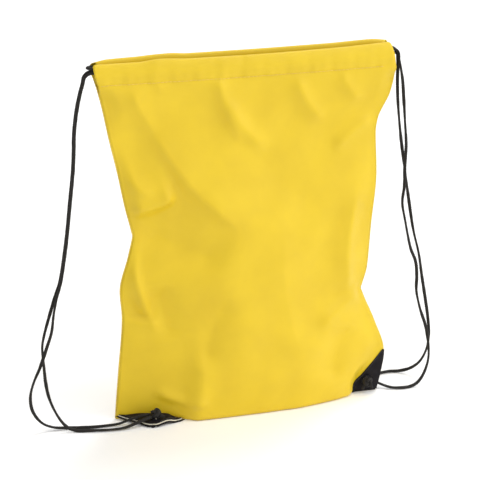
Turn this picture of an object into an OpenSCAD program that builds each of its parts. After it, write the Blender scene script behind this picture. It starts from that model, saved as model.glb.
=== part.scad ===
// Drawstring backpack: a flat cloth bag that stands lightly filled on its own base, with an open mouth,
// two hem channels, two cords that run through both channels and hang down as shoulder straps,
// and leather-cloth corner patches with metal eyelets that hold the knotted cord ends.
// Millimetres, +Z up, -Y is the front, origin in the middle of the base on the ground.

/* [Bag] */
// Half width of the bag at the base
base_half = 158; // [150:1:162]
// Half width of the bag under the hem
top_half = 168; // [164:1:172]
// How far each side edge is drawn in at mid height
waist_in = 18; // [8:1:22]
// Half depth of the filled belly at its middle
belly = 38; // [34:1:42]
// Height of the bag from the ground to the lower edge of the hem channels
hem_z = 385; // [375:1:395]
// Thickness of a cloth panel
cloth_t = 1.2; // [1:0.1:1.5]

/* [Hem channels] */
// Height of a hem channel
channel_h = 25; // [22:1:28]
// Half length of a hem channel, whose ends are left open for the cords
channel_half = 166; // [162:1:168]
// Half of the mouth's gap between the channels at their ends
mouth_end = 2; // [1.6:0.1:2.4]
// How much wider that half gap is in the middle
mouth_bow = 4; // [3.5:0.5:6]

/* [Corners] */
// Length of the flat standing ear at the right corner
right_ear = 50; // [46:1:54]
// Thickness of a corner patch
patch_t = 0.8; // [0.6:0.1:1]
// Tilt of the left ear, which lies folded forward on the ground
left_tilt = 12; // [8:1:13]

/* [Cords] */
// Diameter of the two braided cords
cord_d = 4; // [3.6:0.1:4.2]
// Slack of each cord's end loop, which the cord can be pulled by
slack = 4; // [3:0.5:6]

/* [Hidden] */

// Colours
yellow = [0.95, 0.80, 0.22];
thread_yellow = [0.90, 0.74, 0.18];
black = [0.10, 0.09, 0.10];
gunmetal = [0.16, 0.16, 0.17];

// Cloth
edge_gap = 0.4;          // half gap between the two panels along their edges
floor_round = 7;         // inner radius of the fold between base and wall
panel_columns = 32;
base_steps = [0, 0.4, 0.8];
fold_angles = [0, 30, 60, 90];
first_wall_z = 20;
wall_rows = 20;
left_ear = 20;           // the left corner is pinched less, because its ear is folded away
ear_blend_left = 60;
ear_blend_right = 40;
touch = 0.05;            // gap between pieces that lie on each other
seam_w = 1.6;            // width of the overlocked edge beside the panels
bottom_seam_half = 100;
bottom_seam_w = 1.2;
bottom_seam_h = 2.4;

// Hem channels
channel_r = 3;           // half depth of a channel, and radius of its rounded edges
channel_wall = 0.6;
channel_stations = 20;
section_steps = 8;
cord_low = hem_z + 16;   // height of the left cord in both channels
cord_high = hem_z + 21.5; // height of the right cord in both channels

// Corner hardware
ear_core = 1.6;          // both cloth layers of the folded left ear, pressed flat
left_stack_half = ear_core / 2 + touch + patch_t;
right_gap = 0.2;         // gap under the standing ear's patches, because the ear opens slightly upwards
right_stack_half = edge_gap + cloth_t + right_gap + patch_t;
flange_t = 0.6;
flange_r = 6.2;
bore_r = 4.2;
barrel_r = 4.7;
left_eyelet_at = [-111, -27, 6];
left_turn = -18.5;       // direction of the left ear's fold line
right_eyelet_at = [148, 0, 14];
eyelet_clearance = 0.2;  // how much wider than the barrel the holes in the cloth are
through = 20;            // height of a hole's cutter, more than any stack of cloth
// Flat outlines around each eyelet, which sits at their origin
left_ear_outline = [[-35.5, 7.4], [19, 7], [1, -12.4], [-6, -13.2]];
left_patch_outline = [[-35, 7.5], [19, 7.2], [1, -12], [-6, -12.8]];
right_patch_outline = [[-24, -13.7], [9, -13.7], [8, 25], [-4, 14], [-16, 0], [-22, -7]];
left_stitches = [[-25, 0.5], [-10, -9]];
right_stitches = [[5.5, 18.5], [-13, -1.5]];
stitch_r = 0.35;
stitch_len = 3.6;
hem_stitches = 58;
patch_stitch_pitch = 4;

// Cords
cord_r = cord_d / 2;
cord_sides = 8;
loop_r = mouth_end + channel_r;
knot_r = 3.4;
knot_rise = 2.6;
knot_h = knot_rise + cord_d - 0.2;
smooth_steps = 2;
bore_end_r = 1.95;       // each of the two cord ends that share an eyelet's bore
bore_end_x = 2.05;

// Route of a drawstring: its way out of a channel (height counted from the cord's own level),
// the marks along a channel, its last two marks, and the turns of its end loop
exit_route = [[180.3, 2.2, -9.5], [178.8, 2.8, -4.5], [174.5, 4, -0.9], [168, 4.9, 0]];
channel_marks = [for (i = [-5:5]) 28 * i];
channel_ends = [156, channel_half];
turn_angles = [for (a = [-90:30:90]) a];

// Routes of the four hanging strands, from just under the channel's end to the eyelet
left_front_route = [
    [-181, -2.2, 388.5], [-184, -2.4, 379], [-188, -3, 362], [-191, -4, 339], [-193, -4, 310],
    [-196, -5, 275], [-200, -5, 244], [-205, -6, 208], [-211, -7, 172], [-217, -8, 152],
    [-221, -9, 134], [-224, -10, 115], [-230, -11, 98], [-238, -11, 76], [-246, -11, 58],
    [-250, -11, 42], [-248, -11, 25], [-239, -12, 11], [-226, -13, 4], [-210, -15, 2.2],
    [-190, -20, 2.2], [-168, -21.5, 2.2], [-152, -22.5, 3.4], [-139, -24, 7.8], [-128, -25.5, 10.9],
    [-118.5, -26, 11.8]
];
left_back_route = [
    [-181, 2.2, 388.5], [-184, 2.2, 379], [-188, 2, 362], [-191, 1, 339], [-193, 1, 310],
    [-196, 0, 275], [-200, 0, 244], [-205, -1, 208], [-211, -2, 172], [-218, -3, 152],
    [-226, -4, 128], [-232, -5, 108], [-234, -5, 94], [-233, -7, 74], [-232, -9, 56],
    [-229, -12, 38], [-222, -16, 20], [-213, -21, 7], [-202, -26, 2.2], [-188, -30, 2.2],
    [-166, -34, 2.2], [-149, -35, 3], [-136, -33.5, 6], [-126, -32.5, 9], [-118, -31.2, 10.6]
];
right_front_route = [
    [180.5, -2.2, 393.5], [182.5, -2.4, 384], [185, -3, 368], [187, -3, 345], [189, -3, 320],
    [191, -3, 294], [190, -3, 270], [190, -3, 246], [188, -3, 226], [192, -3, 204],
    [199, -3, 172], [206, -3, 154], [208, -3, 136], [208, -3, 118], [213, -3, 96],
    [221, -3, 72], [225, -3, 48], [225, -3, 31], [220, -4, 16], [212, -6, 6],
    [202, -8, 2.2], [190, -9, 2.2], [178, -5, 2.5], [168, 3, 5], [160, 8, 9], [153.5, 8.5, 12], [150, 5.5, 12.5]
];
right_back_route = [
    [180.5, 2.2, 393.5], [181, 2.6, 384], [181, 3, 368], [182, 3, 345], [185, 4, 318],
    [189, 5, 290], [194, 5, 258], [199, 6, 228], [206, 7, 190], [214, 8, 160],
    [219, 9, 132], [224, 10, 106], [229, 12, 80], [232, 14, 56], [231, 18, 36],
    [226, 25, 19], [218, 34, 8], [207, 42, 2.6], [195, 45, 2.2], [182, 43, 2.2],
    [170, 36, 3], [161, 26, 7], [155, 16, 12], [151, 10, 15.5], [148.4, 5.5, 16]
];

// ---- functions ----

function smooth(t) = let (c = min(1, max(0, t))) c * c * (3 - 2 * c);
function unit(v) = v / norm(v);

// Half width of the bag at height z
function half_w(z) =
    base_half + (top_half - base_half) * z / hem_z - waist_in * pow(sin(180 * z / hem_z), 2);

// Half of the mouth's gap at x
function mouth_gap(x) = mouth_end + mouth_bow * (1 - pow(min(1, abs(x) / channel_half), 2));

// 0 in the flat ear of a bottom corner, 1 in the belly
function ear_fade(x, z) =
    let (s = half_w(z) - abs(x) + z)
    x > 0 ? smooth((s - right_ear) / ear_blend_right) : smooth((s - left_ear) / ear_blend_left);

// Half of the hollow's depth at a fraction u of the half width and a height z
function hollow(u, z) =
    let (k = pow(cos(90 * z / hem_z), 2), x = u * half_w(z))
    edge_gap + k * belly * (1 - u * u) * ear_fade(x, z)
    + (1 - k) * (mouth_gap(x) + channel_r - cloth_t / 2 - edge_gap);

wall_z = [for (i = [0:wall_rows]) first_wall_z + (hem_z - first_wall_z) * i / wall_rows];
column_u = [for (j = [0:panel_columns]) -1 + 2 * j / panel_columns];
seam_z = concat([0.2, first_wall_z / 2], wall_z);

// One face of a panel as rows of points: under the base, round the fold and up the wall
function panel_rows(out) = concat(
    [for (f = base_steps) [for (u = column_u)
        let (d = hollow(u, floor_round), r = min(floor_round, d / 2))
        [u * half_w(0), -f * (d - r), cloth_t - out]]],
    [for (a = fold_angles) [for (u = column_u)
        let (d = hollow(u, floor_round), r = min(floor_round, d / 2), z = cloth_t + r - (r + out) * cos(a))
        [u * half_w(max(0, z)), -(d - r) - (r + out) * sin(a), z]]],
    [for (z = wall_z) [for (u = column_u) [u * half_w(z), -hollow(u, z) - out, z]]]
);

// Faces of a closed sheet between two grids of the same size
function sheet_faces(rows, columns) =
    let (n = rows * columns)
    concat(
        [for (r = [0:rows - 2], c = [0:columns - 2], k = [0, 1])
            let (a = r * columns + c, b = a + 1, d = a + columns, e = d + 1)
            k == 0 ? [a, d, e] : [a, e, b]],
        [for (r = [0:rows - 2], c = [0:columns - 2], k = [0, 1])
            let (a = n + r * columns + c, b = a + 1, d = a + columns, e = d + 1)
            k == 0 ? [a, e, d] : [a, b, e]],
        [for (c = [0:columns - 2], k = [0, 1])
            let (a = c, b = c + 1)
            k == 0 ? [a, b, n + b] : [a, n + b, n + a]],
        [for (c = [0:columns - 2], k = [0, 1])
            let (a = (rows - 1) * columns + c, b = a + 1)
            k == 0 ? [a, n + b, b] : [a, n + a, n + b]],
        [for (r = [0:rows - 2], k = [0, 1])
            let (a = r * columns, b = a + columns)
            k == 0 ? [a, n + b, b] : [a, n + a, n + b]],
        [for (r = [0:rows - 2], k = [0, 1])
            let (a = (r + 1) * columns - 1, b = a + columns)
            k == 0 ? [a, b, n + b] : [a, n + b, n + a]]
    );

function flatten(rows) = [for (row = rows, p = row) p];

// Stadium section of a channel, inset from its outside by t
function stadium(t) = [for (i = [0:2 * section_steps - 1])
    let (a = 180 * (i % section_steps) / (section_steps - 1), top = i < section_steps,
         s = top ? 1 : -1, zc = top ? hem_z + channel_h - channel_r : hem_z + channel_r)
    [s * (channel_r - t) * cos(a), zc + s * (channel_r - t) * sin(a)]];

station_x = [for (i = [0:channel_stations]) channel_half * (-1 + 2 * i / channel_stations)];

function channel_rings(t) = [for (x = station_x)
    [for (p = stadium(t)) [x, -(mouth_gap(x) + channel_r) + p[0], p[1]]]];

// Faces of a tube wall: outer rings first, inner rings after them, open through both ends
function tube_wall_faces(rings, m) =
    let (n = rings * m)
    concat(
        [for (r = [0:rings - 2], c = [0:m - 1], k = [0, 1])
            let (a = r * m + c, b = r * m + (c + 1) % m, d = a + m, e = b + m)
            k == 0 ? [a, e, d] : [a, b, e]],
        [for (r = [0:rings - 2], c = [0:m - 1], k = [0, 1])
            let (a = n + r * m + c, b = n + r * m + (c + 1) % m, d = a + m, e = b + m)
            k == 0 ? [a, d, e] : [a, e, b]],
        [for (c = [0:m - 1], k = [0, 1])
            let (a = c, b = (c + 1) % m)
            k == 0 ? [a, n + b, b] : [a, n + a, n + b]],
        [for (c = [0:m - 1], k = [0, 1])
            let (a = (rings - 1) * m + c, b = (rings - 1) * m + (c + 1) % m)
            k == 0 ? [a, b, n + b] : [a, n + b, n + a]]
    );

// Smooth curve through hand-set points
function spline_at(a, b, c, d, t) =
    0.5 * (2 * b + (c - a) * t + (2 * a - 5 * b + 4 * c - d) * t * t + (3 * b - a - 3 * c + d) * t * t * t);
function spline(p, steps) =
    let (n = len(p))
    concat(
        [for (i = [0:n - 2], k = [0:steps - 1])
            spline_at(p[max(0, i - 1)], p[i], p[i + 1], p[min(n - 1, i + 2)], k / steps)],
        [p[n - 1]]);

function tangent(p, i) = unit(p[min(len(p) - 1, i + 1)] - p[max(0, i - 1)]);

// A side direction for each ring, carried along the route without twisting
function carried(p, i, side) =
    let (t = tangent(p, i), s = unit(side - (side * t) * t))
    i == len(p) - 1 ? [s] : concat([s], carried(p, i + 1, s));

function cord_points(p, side) =
    let (sides = carried(p, 0, side))
    [for (i = [0:len(p) - 1]) let (t = tangent(p, i), s = sides[i], b = cross(t, s))
        for (k = [0:cord_sides - 1])
            p[i] + cord_r * (cos(360 * k / cord_sides) * s + sin(360 * k / cord_sides) * b)];
function cord_faces(rings) =
    let (m = cord_sides)
    concat(
        [[for (k = [0:m - 1]) k]],
        [for (r = [0:rings - 2], c = [0:m - 1], k = [0, 1])
            let (a = r * m + c, b = r * m + (c + 1) % m, d = a + m, e = b + m)
            k == 0 ? [a, d, e] : [a, e, b]],
        [[for (k = [m - 1:-1:0]) (rings - 1) * m + k]]
    );

// Route of a cord inside the channels: out of the front channel's end, round the far end, and back.
// way is -1 for the cord that leaves on the left and 1 for the one that leaves on the right.
function drawstring_half(way, side, z) = [for (p = exit_route) [way * p[0], side * p[1], z + p[2]]];
function reversed(p) = [for (i = [len(p) - 1:-1:0]) p[i]];
function drawstring_route(way, z) = concat(
    drawstring_half(way, -1, z),
    [for (x = channel_marks) [-way * x, -(mouth_gap(x) + channel_r), z]],
    [for (x = channel_ends) [-way * x, -(mouth_gap(x) + channel_r), z]],
    [for (a = turn_angles) [-way * (channel_half + slack + loop_r * cos(a)), loop_r * sin(a), z]],
    [for (x = reversed(channel_ends)) [-way * x, mouth_gap(x) + channel_r, z]],
    [for (x = channel_marks) [way * x, mouth_gap(x) + channel_r, z]],
    reversed(drawstring_half(way, 1, z))
);

// ---- cloth ----

module panel_shell() {
    outer = panel_rows(cloth_t);
    inner = panel_rows(0);
    polyhedron(concat(flatten(outer), flatten(inner)), sheet_faces(len(outer), len(column_u)));
}

// Puts a child drawn flat, with its eyelet at the origin, onto the folded left ear
module on_left_ear() {
    translate(left_eyelet_at) rotate([0, 0, left_turn]) rotate([left_tilt, 0, 0]) children();
}

// Puts a child drawn flat, with its eyelet at the origin, onto the standing right ear
module on_right_ear() {
    translate(right_eyelet_at) rotate([90, 0, 0]) children();
}

module eyelet_hole() {
    cylinder(h = through, r = barrel_r + eyelet_clearance, center = true, $fn = 48);
}

module front_panel() {
    color(yellow) difference() {
        panel_shell();
        on_right_ear() eyelet_hole();
    }
}

module back_panel() {
    color(yellow) difference() {
        mirror([0, 1, 0]) panel_shell();
        on_right_ear() eyelet_hole();
    }
}

// Both cloth layers of the left corner, folded forward off the bag and pressed flat
module left_ear() {
    color(yellow) on_left_ear() difference() {
        translate([0, 0, -ear_core / 2]) linear_extrude(ear_core) polygon(left_ear_outline);
        eyelet_hole();
    }
}

// Overlocked edge that joins the two panels up one side
function seam_ring(z) =
    let (d = hollow(1, z) + cloth_t, x = half_w(z) + touch)
    [[x, -d, z], [x + seam_w, -d, z], [x + seam_w, d, z], [x, d, z]];

module side_seam() {
    rings = [for (z = seam_z) seam_ring(z)];
    n = len(rings);
    polyhedron(flatten(rings), concat(
        [[0, 1, 2, 3]],
        [for (r = [0:n - 2], c = [0:3], k = [0, 1])
            let (a = 4 * r + c, b = 4 * r + (c + 1) % 4, d = a + 4, e = b + 4)
            k == 0 ? [a, d, e] : [a, e, b]],
        [[4 * n - 1, 4 * n - 2, 4 * n - 3, 4 * n - 4]]));
}

module left_side_seam() {
    color(thread_yellow) mirror([1, 0, 0]) side_seam();
}

module right_side_seam() {
    color(thread_yellow) side_seam();
}

// Seam allowance that stands up inside the bag along the middle of its base
module bottom_seam() {
    color(thread_yellow) translate([-bottom_seam_half, -bottom_seam_w / 2, cloth_t + touch])
        cube([2 * bottom_seam_half, bottom_seam_w, bottom_seam_h]);
}

// ---- hem channels ----

module channel() {
    outer = channel_rings(0);
    inner = channel_rings(channel_wall);
    polyhedron(concat(flatten(outer), flatten(inner)), tube_wall_faces(len(outer), 2 * section_steps));
}

module front_channel() {
    color(yellow) translate([0, 0, touch]) channel();
}

module back_channel() {
    color(yellow) translate([0, 0, touch]) mirror([0, 1, 0]) channel();
}

// Row of stitches along the lower edge of a channel's outer face
module hem_stitches_row() {
    for (i = [0:hem_stitches - 1]) {
        x = (channel_half - 4) * (-1 + 2 * i / (hem_stitches - 1));
        y = -(mouth_gap(x) + 2 * channel_r + stitch_r + 2 * touch);
        slope = 2 * mouth_bow * x / pow(channel_half, 2);
        translate([x, y, hem_z + channel_r + 0.5]) rotate([0, 90, atan(slope)])
            cylinder(h = stitch_len, r = stitch_r, center = true, $fn = 16);
    }
}

module front_hem_stitching() {
    color(thread_yellow) hem_stitches_row();
}

module back_hem_stitching() {
    color(thread_yellow) mirror([0, 1, 0]) hem_stitches_row();
}

// ---- corner patches ----

// Leather-cloth triangle with a hole for the eyelet, lying from height low upwards
module patch_plate(outline, low) {
    translate([0, 0, low]) difference() {
        linear_extrude(patch_t) polygon(outline);
        cylinder(h = through, r = barrel_r + eyelet_clearance / 2, center = true, $fn = 64);
    }
}

module left_front_patch() {
    color(black) on_left_ear() patch_plate(left_patch_outline, ear_core / 2 + touch);
}

module left_back_patch() {
    color(black) on_left_ear() patch_plate(left_patch_outline, -left_stack_half);
}

module right_front_patch() {
    color(black) on_right_ear() patch_plate(right_patch_outline, right_stack_half - patch_t);
}

module right_back_patch() {
    color(black) on_right_ear() patch_plate(right_patch_outline, -right_stack_half);
}

// Stitches from a to b on both faces of an ear
module patch_stitches_row(a, b, height) {
    spaces = floor(norm(b - a) / patch_stitch_pitch);
    for (i = [0:spaces], s = [-1, 1]) {
        p = a + (b - a) * i / spaces;
        translate([p[0], p[1], s * (height + stitch_r + touch)])
            rotate([0, 0, atan2(b[1] - a[1], b[0] - a[0])]) rotate([0, 90, 0])
                cylinder(h = stitch_len * 0.7, r = stitch_r, center = true, $fn = 16);
    }
}

module left_patch_stitching() {
    color(black) on_left_ear() patch_stitches_row(left_stitches[0], left_stitches[1], left_stack_half);
}

module right_patch_stitching() {
    color(black) on_right_ear()
        patch_stitches_row(right_stitches[0], right_stitches[1], right_stack_half);
}

// ---- eyelets ----

// Flanged barrel, and the washer that the barrel's end is clenched over
module eyelet_spool(height) {
    difference() {
        union() {
            translate([0, 0, height + touch]) cylinder(h = flange_t, r = flange_r, $fn = 64);
            translate([0, 0, -height - touch - flange_t])
                cylinder(h = 2 * (height + touch + flange_t), r = barrel_r - touch, $fn = 64);
        }
        cylinder(h = through, r = bore_r, center = true, $fn = 64);
    }
}

module eyelet_washer(height) {
    translate([0, 0, -height - touch - flange_t]) difference() {
        cylinder(h = flange_t, r = flange_r, $fn = 64);
        cylinder(h = through, r = barrel_r, center = true, $fn = 64);
    }
}

module left_eyelet() {
    color(gunmetal) on_left_ear() eyelet_spool(left_stack_half);
}

module left_eyelet_washer() {
    color(gunmetal) on_left_ear() eyelet_washer(left_stack_half);
}

module right_eyelet() {
    color(gunmetal) on_right_ear() eyelet_spool(right_stack_half);
}

module right_eyelet_washer() {
    color(gunmetal) on_right_ear() eyelet_washer(right_stack_half);
}

// ---- cords ----

module cord_tube(route, side) {
    polyhedron(cord_points(route, side), cord_faces(len(route)));
}

module left_drawstring() {
    color(black) cord_tube(drawstring_route(-1, cord_low), [1, 0, 0]);
}

module right_drawstring() {
    color(black) cord_tube(drawstring_route(1, cord_high), [1, 0, 0]);
}

module left_front_strand() {
    color(black) cord_tube(spline(left_front_route, smooth_steps), [1, 0, 0]);
}

module left_back_strand() {
    color(black) cord_tube(spline(left_back_route, smooth_steps), [1, 0, 0]);
}

module right_front_strand() {
    color(black) cord_tube(spline(right_front_route, smooth_steps), [1, 0, 0]);
}

module right_back_strand() {
    color(black) cord_tube(spline(right_back_route, smooth_steps), [1, 0, 0]);
}

// Two rounds of cord with a filled middle, standing from height low upwards
module knot_lump(low) {
    for (h = [0, knot_rise])
        translate([0, 0, low + cord_r - 0.1 + h]) rotate_extrude($fn = 48)
            translate([knot_r, 0]) circle(r = cord_r - 0.1, $fn = 24);
    translate([0, 0, low + 0.8]) cylinder(h = knot_h - 1.6, r = knot_r, $fn = 48);
}

// Both cord ends where they pass through the eyelet, from height low to height high
module ends_in_bore(low, high) {
    for (s = [-1, 1])
        translate([s * bore_end_x, 0, low]) cylinder(h = high - low, r = bore_end_r, $fn = 32);
}

module left_knot() {
    low = left_stack_half + touch + flange_t + touch;
    color(black) on_left_ear() {
        knot_lump(low);
        ends_in_bore(-low, low + 1);
    }
}

module right_knot() {
    low = right_stack_half + touch + flange_t + touch;
    color(black) on_right_ear() {
        knot_lump(low);
        ends_in_bore(-low, low + 1);
    }
}

front_panel();
back_panel();
left_ear();
left_side_seam();
right_side_seam();
bottom_seam();
front_channel();
back_channel();
front_hem_stitching();
back_hem_stitching();
left_front_patch();
left_back_patch();
left_patch_stitching();
right_front_patch();
right_back_patch();
right_patch_stitching();
left_eyelet();
left_eyelet_washer();
right_eyelet();
right_eyelet_washer();
left_drawstring();
right_drawstring();
left_front_strand();
left_back_strand();
right_front_strand();
right_back_strand();
left_knot();
right_knot();
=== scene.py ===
"""Looks of the drawstring backpack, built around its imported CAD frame.

Everything is in metres in the row frame: +Z up, -Y the front, origin in the middle of the base.
"""
import math
from collections import namedtuple

import bpy
import numpy as np
from mathutils import Matrix, Vector


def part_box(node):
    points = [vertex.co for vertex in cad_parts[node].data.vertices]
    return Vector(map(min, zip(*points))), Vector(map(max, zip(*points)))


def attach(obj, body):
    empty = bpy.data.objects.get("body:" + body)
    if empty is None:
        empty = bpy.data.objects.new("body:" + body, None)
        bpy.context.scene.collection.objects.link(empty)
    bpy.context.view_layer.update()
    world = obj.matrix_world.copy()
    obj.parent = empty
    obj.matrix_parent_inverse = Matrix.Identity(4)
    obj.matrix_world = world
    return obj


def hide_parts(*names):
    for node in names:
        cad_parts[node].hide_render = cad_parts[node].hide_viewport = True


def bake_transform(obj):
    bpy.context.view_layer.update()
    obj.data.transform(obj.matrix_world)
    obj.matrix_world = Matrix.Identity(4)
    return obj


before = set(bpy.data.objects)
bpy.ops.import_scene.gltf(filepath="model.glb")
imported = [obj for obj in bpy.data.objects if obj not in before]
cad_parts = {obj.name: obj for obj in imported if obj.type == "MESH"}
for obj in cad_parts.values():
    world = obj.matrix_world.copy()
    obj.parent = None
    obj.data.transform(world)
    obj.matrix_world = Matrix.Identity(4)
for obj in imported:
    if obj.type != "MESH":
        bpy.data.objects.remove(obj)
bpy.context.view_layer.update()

MM = 0.001

# ---- sizes taken from the frame ----
panel_low, panel_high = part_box("front_panel")
channel_low, channel_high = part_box("front_channel")
eyelet_low, eyelet_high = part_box("right_eyelet")
HEM_Z = panel_high.z  # lower edge of the hem channels
TOP_Z = channel_high.z  # top of the hem channels
CHANNEL_HALF = channel_high.x  # half length of a channel
CHANNEL_R = 3 * MM  # half depth of a channel
MOUTH_END = -channel_high.y  # half gap of the mouth at its ends
MOUTH_BOW = -channel_low.y - MOUTH_END - 2 * CHANNEL_R
RIGHT_EYELET = Vector(((eyelet_low.x + eyelet_high.x) / 2, 0, (eyelet_low.z + eyelet_high.z) / 2))
EYELET_X, EYELET_Z = RIGHT_EYELET.x / MM, RIGHT_EYELET.z / MM
LEFT_EYELET = Vector((-0.111, -0.027, 0.006))
LEFT_TURN = math.radians(-18.5)  # direction of the folded left ear
LEFT_TILT = math.radians(12)  # its slope, down to the front
CORD_D = 4 * MM
CORD_R = CORD_D / 2
CORD_LOW = HEM_Z + 16 * MM  # height of the left cord inside the channels
CORD_HIGH = HEM_Z + 21.5 * MM  # height of the right cord inside the channels
SLACK = 4 * MM  # how far each end loop stands off the channel's end
LOOP_R = MOUTH_END + CHANNEL_R
CLOTH = 0.45 * MM


# ---- small mathematics ----

def smooth(t):
    t = np.clip(t, 0.0, 1.0)
    return t * t * (3 - 2 * t)


def curve_through(knots, values, at):
    """Smooth curve through (knots, values), without overshoot, read at the places at."""
    k = np.asarray(knots, float)
    v = np.asarray(values, float)
    at = np.clip(np.asarray(at, float), k[0], k[-1])
    step = np.diff(k)
    slope = np.diff(v) / step
    m = np.zeros_like(v)
    m[0], m[-1] = slope[0], slope[-1]
    before, after = slope[:-1], slope[1:]
    same = before * after > 0
    m[1:-1][same] = 2 * before[same] * after[same] / (before[same] + after[same])
    i = np.clip(np.searchsorted(k, at, side="right") - 1, 0, len(step) - 1)
    h = step[i]
    t = (at - k[i]) / h
    return ((2 * t**3 - 3 * t**2 + 1) * v[i] + (t**3 - 2 * t**2 + t) * h * m[i]
            + (3 * t**2 - 2 * t**3) * v[i + 1] + (t**3 - t**2) * h * m[i + 1])


def curve_points(points, at):
    """Places on a smooth curve through points of a plane; at goes from 0 at the first to 1 at the last."""
    knots = np.linspace(0, 1, len(points))
    return np.stack([curve_through(knots, values, at) for values in zip(*points)], -1)


def spline(points, steps):
    """Smooth curve through given points: the same one that part.scad sweeps its cords along."""
    p = np.asarray(points, float)
    n = len(p)
    out = []
    for i in range(n - 1):
        a, b, c, d = p[max(0, i - 1)], p[i], p[i + 1], p[min(n - 1, i + 2)]
        for k in range(steps):
            t = k / steps
            out.append(0.5 * (2 * b + (c - a) * t + (2 * a - 5 * b + 4 * c - d) * t * t
                              + (3 * b - a - 3 * c + d) * t**3))
    out.append(p[-1])
    return np.array(out)


def even_steps(points, step):
    """The same polyline with points a fixed step apart."""
    p = np.asarray(points, float)
    s = np.concatenate([[0], np.cumsum(np.linalg.norm(np.diff(p, axis=0), axis=1))])
    at = np.linspace(0, s[-1], int(round(s[-1] / step)) + 1)
    return np.stack([np.interp(at, s, p[:, c]) for c in range(3)], 1)


def rings_along(path, side):
    """Two directions across a path at each of its points, carried along without twisting."""
    t = np.gradient(path, axis=0)
    t /= np.linalg.norm(t, axis=1)[:, None]
    a = np.zeros_like(path)
    s = np.asarray(side, float)
    for i in range(len(path)):
        s = s - (s @ t[i]) * t[i]
        s /= np.linalg.norm(s)
        a[i] = s
    return a, np.cross(t, a)


# ---- mesh helpers ----

def add_object(name, data):
    obj = bpy.data.objects.new(name, data)
    bpy.context.collection.objects.link(obj)
    return obj


def new_object(name, verts, faces, uvs=None):
    """A mesh object; uvs is one (u, v) per vertex."""
    mesh = bpy.data.meshes.new(name)
    mesh.from_pydata([tuple(v) for v in np.asarray(verts, float)], [], [tuple(f) for f in faces])
    if uvs is not None:
        layer = mesh.uv_layers.new(name="UVMap")
        corner = np.zeros(len(mesh.loops), int)
        mesh.loops.foreach_get("vertex_index", corner)
        layer.data.foreach_set("uv", np.asarray(uvs, np.float32)[corner].ravel())
    mesh.validate()
    mesh.shade_smooth()
    return add_object(name, mesh)


def grid_faces(rows, columns, start=0, wrap=False):
    """Faces of a grid of rows x columns points; wrap joins the last column to the first."""
    out = []
    for r in range(rows - 1):
        for c in range(columns if wrap else columns - 1):
            a = start + r * columns + c
            b = start + r * columns + (c + 1) % columns
            out.append((a, b, b + columns, a + columns))
    return out


def grid_object(name, grid, uv):
    rows, columns = grid.shape[:2]
    return new_object(name, grid.reshape(-1, 3), grid_faces(rows, columns), uv.reshape(-1, 2))


def apply_modifiers(obj):
    """Replaces the object's mesh by what its modifiers make of it."""
    bpy.context.view_layer.update()
    evaluated = obj.evaluated_get(bpy.context.evaluated_depsgraph_get())
    mesh = bpy.data.meshes.new_from_object(evaluated)
    old = obj.data
    obj.modifiers.clear()
    obj.data = mesh
    bpy.data.meshes.remove(old)


def thicken(obj, thickness):
    """Gives a sheet its thickness, half of it on either side."""
    mod = obj.modifiers.new("thickness", "SOLIDIFY")
    mod.thickness = thickness
    mod.offset = 0
    apply_modifiers(obj)


def vertex_uvs(obj):
    """One (u, v) per vertex."""
    uvs = np.zeros((len(obj.data.vertices), 2))
    for loop, place in zip(obj.data.loops, obj.data.uv_layers[0].data):
        uvs[loop.vertex_index] = place.uv
    return uvs


def join(name, objects):
    """One object of several."""
    verts, faces = [], []
    uvs = np.concatenate([vertex_uvs(o) for o in objects])
    for o in objects:
        start = len(verts)
        verts += [tuple(v.co) for v in o.data.vertices]
        faces += [tuple(start + i for i in f.vertices) for f in o.data.polygons]
        bpy.data.objects.remove(o)
    return new_object(name, verts, faces, uvs)


def tube(name, path, skin_radius, sides, side, caps=True):
    """A tube along a path. skin_radius(angle, distance) gives the radius at each point of its skin."""
    a, b = rings_along(path, side)
    s = np.concatenate([[0], np.cumsum(np.linalg.norm(np.diff(path, axis=0), axis=1))])
    turn = np.linspace(0, 2 * math.pi, sides, endpoint=False)
    angle, along = np.meshgrid(turn, s)
    r = skin_radius(angle, along)
    skin = (path[:, None, :] + r[..., None] * (np.cos(angle)[..., None] * a[:, None, :]
                                               + np.sin(angle)[..., None] * b[:, None, :]))
    verts = skin.reshape(-1, 3)
    uvs = np.stack([angle / (2 * math.pi), along], -1).reshape(-1, 2)
    faces = grid_faces(len(path), sides, wrap=True)
    if caps:
        faces.append(tuple(range(sides - 1, -1, -1)))
        faces.append(tuple((len(path) - 1) * sides + k for k in range(sides)))
    return new_object(name, verts, faces, uvs)


# ---- materials ----

def material(name, colour, roughness, **sockets):
    """A new material: its principled shader's own sockets hold all that is the same everywhere."""
    mat = bpy.data.materials.new(name)
    mat.use_nodes = True
    shader = mat.node_tree.nodes["Principled BSDF"]
    shader.inputs["Base Color"].default_value = (*colour, 1)
    shader.inputs["Roughness"].default_value = roughness
    for socket, value in sockets.items():
        shader.inputs[socket.replace("_", " ")].default_value = value
    return mat


def node(mat, kind, **values):
    n = mat.node_tree.nodes.new(kind)
    for key, value in values.items():
        setattr(n, key, value)
    return n


def link(mat, source, target):
    mat.node_tree.links.new(source, target)


def coordinates(mat, output, scale=(1, 1, 1)):
    """Texture coordinates stretched by scale."""
    where = node(mat, "ShaderNodeTexCoord")
    mapping = node(mat, "ShaderNodeMapping")
    mapping.inputs["Scale"].default_value = scale
    link(mat, where.outputs[output], mapping.inputs["Vector"])
    return mapping.outputs["Vector"]


def noise(mat, vector, scale, detail):
    n = node(mat, "ShaderNodeTexNoise")
    n.inputs["Scale"].default_value = scale
    n.inputs["Detail"].default_value = detail
    link(mat, vector, n.inputs["Vector"])
    return n.outputs["Fac"]


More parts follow.
